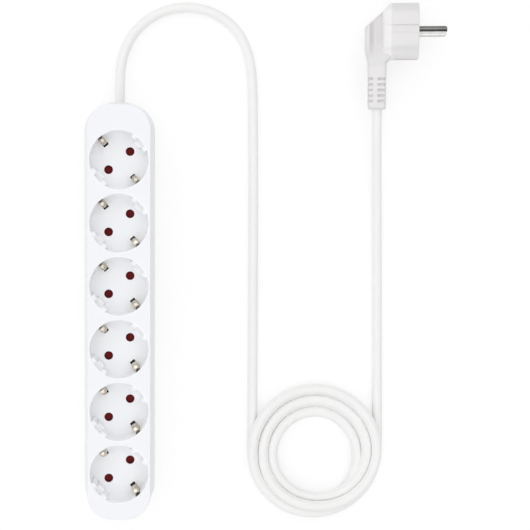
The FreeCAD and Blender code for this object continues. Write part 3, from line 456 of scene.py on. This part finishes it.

# %% [markdown]
# The metals are brass inside the strip, tinned brass for the clips, and nickel on the plug's
# pins. The upper pin has a painted reflection: dark along its upper side, bright along its lower
# edge. A ramp from the pin's lower edge to its upper edge says how bright it is. The lower pin
# has its own copy of the nickel, painted evenly paler, which is a painted reflection too.

# %% Finishes of the metals
ALONG_Y, ALONG_X = (1, 0.05, 1), (0.05, 1, 1)
brass_finish = metal("brass_strip", (0.83, 0.66, 0.36), (0.62, 0.45, 0.20), brush=ALONG_Y)
clip_finish = metal("brass_clip_tinned", (0.70, 0.65, 0.56), (0.52, 0.47, 0.39),
                    rough=(0.28, 0.42))
upper_pin_painted_finish = metal("pin_nickel_painted_reflection", (0.90, 0.895, 0.885), (0.72, 0.715, 0.705),
                   brush=ALONG_X)
# Painted reflection: dark along the upper pin's upper side, bright along its lower edge.
PIN_PAINTED_REFLECTION = [(0.07, 1.0), (0.13, 0.75), (0.21, 0.07), (0.30, 0.025), (0.42, 0.07),
            (0.56, 0.25), (0.72, 0.17), (0.9, 0.2)]
tree = upper_pin_painted_finish.node_tree
low, high = (corner[1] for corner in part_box("plug_pin_upper"))
up_the_pin = calculate(tree, "MULTIPLY_ADD", position(tree)[1],
                       1 / (high - low), -low / (high - low))
multiply_shade(upper_pin_painted_finish, ramp(tree, up_the_pin, [(at, grey(level)) for at, level in PIN_PAINTED_REFLECTION]))
# The lower pin's nickel is a copy painted evenly paler than the upper pin's: a painted
# reflection.
lower_pin_painted_finish = metal("pin_nickel_painted_paler", (0.60, 0.595, 0.585), (0.54, 0.535, 0.525),
                         brush=ALONG_X)
screw_finish = metal("screw_zinc", (0.66, 0.68, 0.70), (0.50, 0.52, 0.56), rough=(0.3, 0.45))
spring_finish = metal("spring_bright_steel", (0.52, 0.52, 0.54), (0.38, 0.38, 0.40))
print("metals ready")

# %% [markdown]
# CAD nodes whose shape is already right only need their finish. Each node's object has
# material slots, and filling them leaves its mesh alone.

# %% Dress the CAD nodes
FINISH_OF = {
    "top_cover": housing, "base": housing, "cord_bushing": bushing_finish,
    "rubber_feet": foot_finish, "cover_screws": screw_finish, "clamp_screws": screw_finish,
    "cord_clamp": clamp_finish, "shutter_plate": plate_finish, "live_bar": brass_finish,
    "neutral_bar": brass_finish, "live_wire": brown_finish, "neutral_wire": blue_finish,
    "earth_wire": earth_core_finish, "plug_face": plug_finish,
    "plug_pin_upper": upper_pin_painted_finish, "plug_pin_lower": lower_pin_painted_finish,
    "plug_earth_contacts": clip_finish,
}
for i in range(1, SOCKET_COUNT + 1):
    FINISH_OF[f"shutter_{i}"] = shutter_finish
    FINISH_OF[f"shutter_spring_{i}"] = spring_finish
for name, finish in FINISH_OF.items():
    slots = nodes[name].data.materials
    slots.clear()
    slots.append(finish)
lead.data.materials.append(lead_finish)
print(f"{len(FINISH_OF)} nodes dressed")

# %% [markdown]
# ## Shapes from rings
#
# Every new solid here is a stack of closed outlines, like the hoops of a barrel: the
# outline changes a little from hoop to hoop, and the skin is stretched between them. The
# first and the last hoop are closed by a fan round a point in their middle, so nothing
# is left open. Rows of numbers are cheap, so a detail such as a slot or a groove is
# made by moving the points that lie inside it, with two hoops close together where its
# wall stands.

# %% A solid from a stack of rings


def stack_faces(count, around, offset):
    """Quads between ring i and ring i+1, point j and point j+1 going round, and a fan of
    triangles from each end ring to its middle point, which is stored after the rings."""
    ring = np.arange(count - 1)[:, None] * around
    here = np.arange(around)[None, :]
    after = (here + 1) % around
    quads = np.stack([ring + here, ring + after,
                      ring + around + after, ring + around + here], -1)
    first, last = count * around, count * around + 1
    top = (count - 1) * around
    start = np.column_stack([after[0], here[0], np.full(around, first)])
    end = np.column_stack([top + here[0], top + after[0], np.full(around, last)])
    fans = np.vstack([start, end])
    return (quads.reshape(-1, 4) + offset).tolist() + (fans + offset).tolist()


def solid_from_stacks(name, stacks, finish, sharp=30, tones=None):
    """One object from several stacks, each an array of rings by points by (x, y, z). Where tones
    of painted light and shade are given, one number per point is kept with the mesh for the
    finish to read."""
    vertices, faces, offset = [], [], 0
    for rings in stacks:
        count, around, _ = rings.shape
        ends = np.stack([rings[0].mean(0), rings[-1].mean(0)])
        vertices.append(np.vstack([rings.reshape(-1, 3), ends]))
        faces += stack_faces(count, around, offset)
        offset += count * around + 2
    mesh = bpy.data.meshes.new(name)
    mesh.from_pydata((np.vstack(vertices) * MM).tolist(), [], faces)
    mesh.polygons.foreach_set("use_smooth", np.ones(len(faces), bool))
    mesh.set_sharp_from_angle(angle=math.radians(sharp))
    mesh.materials.append(finish)
    if tones is not None:
        values = [np.append(painted_tone.ravel(), (painted_tone[0].mean(), painted_tone[-1].mean())) for painted_tone in tones]
        kept = mesh.attributes.new("painted_tone", "FLOAT", "POINT")
        kept.data.foreach_set("value", np.concatenate(values))
    piece = bpy.data.objects.new(name, mesh)
    scene.collection.objects.link(piece)
    print(f"{name}: {len(mesh.vertices)} points, {len(mesh.polygons)} faces")
    return piece


def ease(value, low, high):
    """0 below low, 1 above high, and the smooth cubic 3t^2 - 2t^3 between them."""
    t = np.clip((value - low) / (high - low), 0, 1)
    return t * t * (3 - 2 * t)


print("ring helpers ready")

# %% [markdown]
# ## The earth clips
#
# The brass that shows in each socket's two slots is the spring contact for the plug's
# earth strips. On the real part one strip per socket is bent into both clips: it rises
# through the slot, leans over towards the wall and dips again, so that it can give way,
# and its edges are folded down into two cheeks. Its crowned cross-section is carried
# along that bent path here, and the cheeks are thin plates that follow its height.

# %% The bent earth strips
earth_low, earth_high = (np.array(c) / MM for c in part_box("earth_bar"))
# Half of one strip's path: distance from the socket's middle, and height.
CLIP_PATH = np.array([(0, 15.3), (7, 15.3), (13.4, 15.3), (14.9, 16.4), (15.2, 20),
                      (15.1, 25), (14.9, 29), (15.1, 31.5), (16.0, 33.4), (17.3, 34.1),
                      (18.7, 33.6), (19.7, 32.3), (20.2, 30)])
STRIP_HALF_WIDTH, STRIP_THICK, STRIP_CROWN = 1.75, 0.5, 0.7
CHEEK_SIDE, CHEEK_THICK, CHEEK_FOOT, CHEEK_BELOW_CLIP = 1.65, 0.3, 21.0, 0.45
CHEEK_START, CHEEK_END = 14.9, 20.0
RAIL_HEIGHT = 15.25


def turned(out, level, up, turn, middle):
    """A place given by its distance out, to the side and up, turned about a socket's
    upright axis and moved to that socket's middle."""
    x = out * math.cos(turn) - level * math.sin(turn)
    y = out * math.sin(turn) + level * math.cos(turn) + middle
    return np.stack([x, y, up], -1)


def strip_rings(path, turn, middle):
    """Carry a flat lens along a path in an upright plane. Each ring is the path's point,
    plus the half width times the level direction, plus an offset of the crown and half the
    thickness along the path's own normal. The thickness falls off at the very edges, as
    the square root of 1 less six tenths of the eighth power of the place across."""
    along = np.gradient(path, axis=0)
    along /= np.linalg.norm(along, axis=1, keepdims=True)
    across = np.linspace(-1, 1, 9)
    crown = STRIP_CROWN * (1 - across ** 2)
    skin = STRIP_THICK / 2 * np.sqrt(1 - 0.6 * across ** 8)
    upper = np.column_stack([across, crown + skin])
    lower = np.column_stack([across, crown - skin])[::-1]
    outline = np.vstack([upper, lower])
    level = outline[None, :, 0] * STRIP_HALF_WIDTH
    out = path[:, 0, None] - along[:, 1, None] * outline[None, :, 1]
    up = path[:, 1, None] + along[:, 0, None] * outline[None, :, 1]
    return turned(out, level, up, turn, middle)


def bent_path():
    """The half path mirrored about the socket's middle and smoothed with cubic blends."""
    whole = np.vstack([CLIP_PATH[:0:-1] * (-1, 1), CLIP_PATH])
    return np.column_stack([smooth_between(whole[:, 0], 4), smooth_between(whole[:, 1], 4)])


def cheek_rings(turn, middle, side):
    """A thin upright plate under one edge of a clip: at each distance from the socket's
    middle it reaches from one level up to just under the clip's own height there."""
    out = np.linspace(CHEEK_START, CHEEK_END, 12)[:, None]
    top = np.interp(out, *CLIP_PATH[-7:].T) - CHEEK_BELOW_CLIP
    level = side * CHEEK_SIDE + CHEEK_THICK / 2 * np.array([[-1, 1, 1, -1]])
    up = np.where([[False, False, True, True]], top, CHEEK_FOOT)
    return turned(out, level, up, turn, middle)


rail_path = np.column_stack([np.linspace(earth_low[1], earth_high[1], 12),
                             np.full(12, RAIL_HEIGHT)])
earth_rail = strip_rings(rail_path, math.pi / 2, 0.0)
middles = FIRST_SOCKET - SOCKET_PITCH * np.arange(SOCKET_COUNT)
strips = [strip_rings(bent_path(), CLIP_TURN, middle) for middle in middles]
cheeks = [cheek_rings(turn, middle, side) for middle in middles
          for turn in (CLIP_TURN, CLIP_TURN + math.pi) for side in (-1, 1)]
earth_clips = solid_from_stacks("earth_strips", strips + cheeks + [earth_rail], clip_finish,
                                sharp=50)
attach(earth_clips, "strip")
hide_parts("earth_bar")

# %% [markdown]
# ## The plug
#
# The plug is drawn in a frame of its own: u runs along the pins, out of the face, v runs
# along the strip and w completes the three. The CAD record says where that frame is: its
# mount for the pins gives their direction and a point 10 mm in front of the face. From
# here on, every length that shapes the plug is in millimetres.

# %% The plug's frame
pins_mount = next(m for m in frame["record"]["mounts"] if m["name"] == "plug_pins")
ALONG_PINS = np.array(pins_mount["axis"], float)
ALONG_STRIP = np.array([0.0, 1.0, 0.0])
ACROSS = np.cross(ALONG_PINS, ALONG_STRIP)
MOUNT_BEFORE_FACE = 10
PLUG_FACE = np.array(pins_mount["pos_m"], float) / MM - MOUNT_BEFORE_FACE * ALONG_PINS


def in_plug_frame(u, v, w):
    """Face centre plus u, v and w times their three directions."""
    u, v, w = np.broadcast_arrays(u, v, w)
    return (PLUG_FACE + u[..., None] * ALONG_PINS + v[..., None] * ALONG_STRIP
            + w[..., None] * ACROSS)


print("plug face at", PLUG_FACE.round(2), "mm")

# %% [markdown]
# The front of the plug is a round block with two flats, a guide groove down each flat and
# a seat for an earth contact at each side. Behind it a bevel runs down to the squarer
# handle. Each ring below is a circle whose sides are clipped to the flats.

# %% Rings of the block
BLOCK_RADIUS, BLOCK_FLAT, GROOVE_HALF, GROOVE_FLOOR = 19.5, 16.0, 2.9, 14.7
SEAT_HALF, SEAT_FLOOR, SEAT_START, SEAT_END = 4.0, 16.5, 0.5, -16.2
WALL_HALF = 0.05
# Each row: u, circle radius, highest w, highest v, lowest v.
face_rows = [(-3.9, 16.9, 14.6, 16.4, -16.4), (-0.1, 16.9, 14.6, 16.4, -16.4),
             (0, 17.0, 14.7, 16.5, -16.5), (0, 18.5, 15.2, 18.5, -18.5)]
edge_rows = [(math.cos(a) - 1, BLOCK_RADIUS - 1 + math.sin(a),
              BLOCK_FLAT - 0.8 + 0.8 * math.sin(a), BLOCK_RADIUS, -BLOCK_RADIUS)
             for a in np.linspace(0, math.pi / 2, 5)[1:]]
side_rows = [(u, BLOCK_RADIUS, flat, BLOCK_RADIUS, -BLOCK_RADIUS) for u, flat in
             ((-16.15, 16), (-16.25, 16), (-17.6, 16), (-18.6, 15.6), (-19.2, 15.3))]
bevel_rows = [(-20.6, 19.2, 14.8, 17.7, -18.9), (-23.4, 18.6, 13.4, 14.1, -17.5),
              (-24.3, 18.4, 12.6, 12.9, -17.0), (-24.8, 18.2, 11.4, 12.4, -16.8),
              (-25.2, 18, 10.2, 11.9, -16.6)]
block_rows = np.array(face_rows + edge_rows + side_rows + bevel_rows)


def block_rings():
    """Circle of radius r clipped to w = +-flat and to v between two limits. Points within
    the groove are clipped again to its floor, and so are those within the earth seats.
    Two points stand close together at each edge of a groove or a seat, for its wall."""
    walls = np.array([-WALL_HALF, WALL_HALF])
    quarter = np.concatenate([np.linspace(0, math.pi / 2, 30)[:-1],
                              np.arccos((GROOVE_HALF + walls) / BLOCK_RADIUS),
                              np.arcsin((SEAT_HALF + walls) / BLOCK_RADIUS)])
    turn = np.concatenate([quarter, math.pi - quarter, math.pi + quarter,
                           2 * math.pi - quarter])
    turn = np.unique(turn % (2 * math.pi))
    turn = turn[np.concatenate([[True], np.diff(turn) > 1e-6])]
    u, r, flat, v_high, v_low = (block_rows[:, i, None] for i in range(5))
    v = np.clip(r * np.cos(turn), v_low, v_high)
    w = np.clip(r * np.sin(turn), -flat, flat)
    groove = np.abs(BLOCK_RADIUS * np.cos(turn)) < GROOVE_HALF
    w = np.where(groove, np.clip(w, -GROOVE_FLOOR, GROOVE_FLOOR), w)
    seat = np.abs(BLOCK_RADIUS * np.sin(turn)) < SEAT_HALF
    seat = seat & (u > SEAT_END) & (u < SEAT_START)
    v = np.where(seat, np.clip(v, -SEAT_FLOOR, SEAT_FLOOR), v)
    return in_plug_frame(u, v, w)


print("block rings", block_rings().shape)

# %% [markdown]
# The handle is stacked the other way, from the strain relief upwards. Its cross-section
# is a rectangle with round corners, and a hollow for the fingers is pressed into both
# broad sides.

# %% Rings of the handle


def rounded_rectangle(low, high, half, corner, edge_points=44, corner_points=7):
    """Outline of a rectangle from low to high by -half to half: quarter circles at the
    corners, joined by straight edges with evenly spaced points."""
    arc = np.linspace(0, math.pi / 2, corner_points)
    left, right, side = low + corner, high - corner, half - corner
    run = np.linspace(0, 1, edge_points + 2)[1:-1]
    cosine, sine = corner * np.cos(arc), corner * np.sin(arc)
    u = np.concatenate([right + cosine, right + (left - right) * run, left - sine,
                        left - cosine, left + (right - left) * run, right + sine], -1)
    w = np.concatenate([side + sine, half + 0 * run, side + cosine,
                        -side - sine, -half + 0 * run, -side - cosine], -1)
    return u, w


WALL_DEPTH, SLOPE_DEPTH, RIB_HEIGHT = 1.25, 0.7, 0.22
FADE_FROM, FADE_TO = -22, -6


def hollow_depth(u, v):
    """How far the broad sides are pressed in: a steep wall behind the back rim, then a
    gentle slope down to the foot of the bevel, with a low rib two thirds of the way. It
    fades out towards the strain relief."""
    wall = WALL_DEPTH * ease(u, -34.3, -31.6)
    slope = SLOPE_DEPTH * np.clip((u + 31.6) / 7.2, 0, 1)
    rib = RIB_HEIGHT * ease(u, -29.6, -28.8) * (1 - ease(u, -28.8, -28.0))
    return (wall + slope - rib) * ease(v, FADE_FROM, FADE_TO)


# Stations along v, each with its limit: back edge and front edge in u, half width in w.
BACK_EDGE = ([-24, -21, -14, -13, 1, 2.2, 12.9], [-35, -35, -36.8, -37, -37, -36.5, -24.3])
FRONT_EDGE = ([-24, -21, -18.5, -17], [-21.9, -21.9, -19.2, -19.0])
HALF_WIDTH = ([-24, -12, -10], [6.55, 12.1, 12.4])
HANDLE_CORNER = 2.4
# Painted shade in the finger hollow: more on its steep wall, less on its slope.
HOLLOW_WALL_PAINTED_SHADE, HOLLOW_SLOPE_PAINTED_SHADE = 0.21, 0.09


def handle_rings():
    """Limits of the rectangle at each height v, from straight lines between stations. The
    painted tone is 1, less a share of painted shade on the hollow's wall and a smaller one on
    its slope."""
    v = np.concatenate([np.linspace(-24, 1, 40), np.linspace(1.5, 12.7, 26)])[:, None]
    low, high, half = (np.interp(v, *edge) for edge in (BACK_EDGE, FRONT_EDGE, HALF_WIDTH))
    corner = np.minimum(HANDLE_CORNER, (high - low) / 2 - 0.2)
    u, w = rounded_rectangle(low, high, half, corner)
    flat = ease(np.abs(w), half - 0.6, half)
    past_wall = ease(u, -31.2, -30.4)
    painted_shade = (HOLLOW_WALL_PAINTED_SHADE * ease(u, -34.2, -33.4) * (1 - past_wall)
              + HOLLOW_SLOPE_PAINTED_SHADE * past_wall)
    painted_tone = 1 - painted_shade * flat * ease(v, FADE_FROM, FADE_TO)
    return in_plug_frame(u, v + 0 * u, w - np.sign(w) * hollow_depth(u, v) * flat), painted_tone


print("handle rings", handle_rings()[0].shape)

# %% [markdown]
# The block needs a painted tone at each of its points too, as the finish of the plug's body
# reads one everywhere. The block and the handle are one moulding, so they make one piece.

# %% The plug's body
# Painted highlight on the bevel, painted light low on the block and painted shade high on it.
BEVEL_PAINTED_HIGHLIGHT, LOW_SIDE_PAINTED_LIGHT, HIGH_SIDE_PAINTED_SHADE = 0.13, 0.12, 0.03


def block_painted_light():
    """A painted highlight where the bevel sticks out, and a smooth drift from painted light on
    the block's lower side to a little painted shade on its upper side."""
    u = block_rows[:, 0, None]
    v = block_rings()[..., 1] - PLUG_FACE[1]
    drift = LOW_SIDE_PAINTED_LIGHT * (1 - ease(v, -17, -12.5)) - HIGH_SIDE_PAINTED_SHADE * ease(v, 12, 15)
    return 1 + BEVEL_PAINTED_HIGHLIGHT * ease(-u, 18.2, 19.2) + drift


handle, handle_painted_shade = handle_rings()
plug_shell = solid_from_stacks("plug_moulded_body", [block_rings(), handle], plug_painted_light_finish,
                               tones=[block_painted_light(), handle_painted_shade])
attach(plug_shell, "strip")
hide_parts("plug_body")

# %% [markdown]
# The strain relief keeps the lead from kinking where it enters the plug. It is the same
# soft vinyl with slots across it, so that it bends like a spring: five slots in two
# columns on each broad side.

# %% The slotted strain relief
NECK_AXIS, NECK_TOP, NECK_BOTTOM = -28.45, -23.6, -53.2
SLOT_ROWS = np.array([-32.95, -36.78, -40.62, -44.39, -48.16])
SLOT_HALF_HEIGHT, SLOT_DEPTH, SLOT_END = 0.85, 1.6, 0.35
SLOT_COLUMNS = ((-34.7, -31.2), (-27.9, -22.7))
SLOT_EDGES = np.array([-1.12, -1.0, -0.8, 0.8, 1.0, 1.12])
NECK_CORNER, END_ROUNDING = 2.6, 0.9


def neck_rings():
    """Rounded rectangle that narrows slightly towards the lead, with a quarter round at
    that end. Inside a slot's height and one of the two columns, the side is pushed in by
    the slot's depth."""
    edges = (SLOT_ROWS[:, None] + SLOT_EDGES * SLOT_HALF_HEIGHT).ravel()
    ends = NECK_BOTTOM + np.array([0, 0.12, 0.5, 1.0])
    v = np.sort(np.concatenate([edges, ends, [-30.5, -27, NECK_TOP]]))[:, None]
    to_end = np.clip(1 - (v - NECK_BOTTOM) / END_ROUNDING, 0, 1)
    inset = END_ROUNDING * (1 - np.sqrt(1 - to_end ** 2))
    half = np.interp(v, [NECK_BOTTOM, -50.5, -24], [6.2, 6.35, 6.55]) - inset
    u, w = rounded_rectangle(NECK_AXIS - half, NECK_AXIS + half, half, NECK_CORNER - inset,
                             edge_points=60)
    near = np.abs(v - SLOT_ROWS[None, :]).min(1, keepdims=True)
    deep = 1 - ease(near, SLOT_HALF_HEIGHT * 0.98, SLOT_HALF_HEIGHT * 1.1)
    column = sum(ease(u, low, low + SLOT_END) * (1 - ease(u, high - SLOT_END, high))
                 for low, high in SLOT_COLUMNS)
    side = ease(np.abs(w), half * 0.35, half * 0.6)
    return in_plug_frame(u, v + 0 * u, w - np.sign(w) * SLOT_DEPTH * deep * column * side)


neck = solid_from_stacks("plug_slotted_strain_relief", [neck_rings()], plug_finish)
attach(neck, "strip")
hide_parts("plug_strain_relief")

# %% [markdown]
# ## Floor and light
#
# The strip lies on a plain white surface. The floor reflects light as any pale board
# does, but to the camera most of it is an even white, and only a trace of the shadow is
# left.

# %% Floor


def seen_directly(tree):
    """1 for rays from the camera, or seen in a mirror or through glass, and 0 otherwise."""
    path = tree.nodes.new("ShaderNodeLightPath").outputs
    mirrored = calculate(tree, "MAXIMUM", path["Is Camera Ray"], path["Is Glossy Ray"])
    return calculate(tree, "MAXIMUM", mirrored, path["Is Transmission Ray"])


def mix_shaders(tree, factor, first, second):
    """The first shader where the factor is 0, the second where it is 1."""
    mixed = tree.nodes.new("ShaderNodeMixShader")
    for socket, value in zip(mixed.inputs, (factor, first, second)):
        tree.links.new(value, socket)
    return mixed.outputs["Shader"]


FLOOR_GLOW_SHARE, FLOOR_GLOW, FLOOR_HALF = 0.6, 1.15, 3.0
CORNERS = ((-1, -1), (1, -1), (1, 1), (-1, 1))
floor_mesh = bpy.data.meshes.new("table_top")
floor_mesh.from_pydata([(x * FLOOR_HALF, y * FLOOR_HALF, 0) for x, y in CORNERS],
                       [], [(0, 1, 2, 3)])
floor = bpy.data.objects.new("table_top", floor_mesh)
scene.collection.objects.link(floor)
floor_finish, tree, shader, place = new_finish("table_white_board", Roughness=0.9)
tree.links.new(ramp(tree, mottle(tree, place, 8), [(0.3, grey(0.80)), (0.7, grey(0.82))]),
               shader.inputs["Base Color"])
glow = add_node(tree, "ShaderNodeEmission", Strength=FLOOR_GLOW)
glow_share = calculate(tree, "MULTIPLY", seen_directly(tree), FLOOR_GLOW_SHARE)
tree.links.new(mix_shaders(tree, glow_share, shader.outputs["BSDF"], glow.outputs["Emission"]),
               tree.nodes["Material Output"].inputs["Surface"])
floor.data.materials.append(floor_finish)
print("floor ready")

# %% [markdown]
# One broad panel hangs overhead and four stand at the corners: light that comes in at a
# slant reaches the walls of the sockets, which a lamp straight above would leave grey.
# Three low panels, at the left and at both ends, lift the sides that face them. The room
# itself gives a plain even light, and is white where it is seen or mirrored.

# %% Light
ROOM_LIGHT = 0.45
# Each panel: strength, width, and how far it leans towards +Y and +X, in degrees.
PANELS = {
    "overhead_panel": (0.45, 60, 0, 0),
    "panel_at_the_far_left": (0.46, 50, -35.4, 35.4),
    "panel_at_the_near_left": (0.38, 50, 35.4, 35.4),
    "panel_at_the_far_right": (0.43, 50, -35.4, -35.4),
    "panel_at_the_near_right": (0.34, 50, 35.4, -35.4),
    "low_panel_left": (0.34, 45, 0, 70),
    "low_panel_near_end": (0.16, 45, 65, 0),
    "low_panel_far_end": (0.14, 45, -65, 0),
}
world = bpy.data.worlds.new("soft_room")
world.use_nodes = True
scene.world = world
tree = world.node_tree
room = tree.nodes["Background"]
room.inputs["Color"].default_value = (1, 1, 1, 1)
room.inputs["Strength"].default_value = ROOM_LIGHT
white = add_node(tree, "ShaderNodeBackground", Color=(1, 1, 1, 1), Strength=1.0)
tree.links.new(mix_shaders(tree, seen_directly(tree), room.outputs["Background"],
                           white.outputs["Background"]),
               tree.nodes["World Output"].inputs["Surface"])
for name, (strength, width, towards_plus_y, towards_plus_x) in PANELS.items():
    data = bpy.data.lights.new(name, "SUN")
    data.energy = strength
    data.angle = math.radians(width)
    lamp = bpy.data.objects.new(name, data)
    lamp.rotation_euler = Euler((math.radians(towards_plus_y), math.radians(-towards_plus_x), 0),
                                "XYZ")
    scene.collection.objects.link(lamp)
print(f"{len(PANELS)} panels")

# %% Update the scene at the end
bpy.context.view_layer.update()
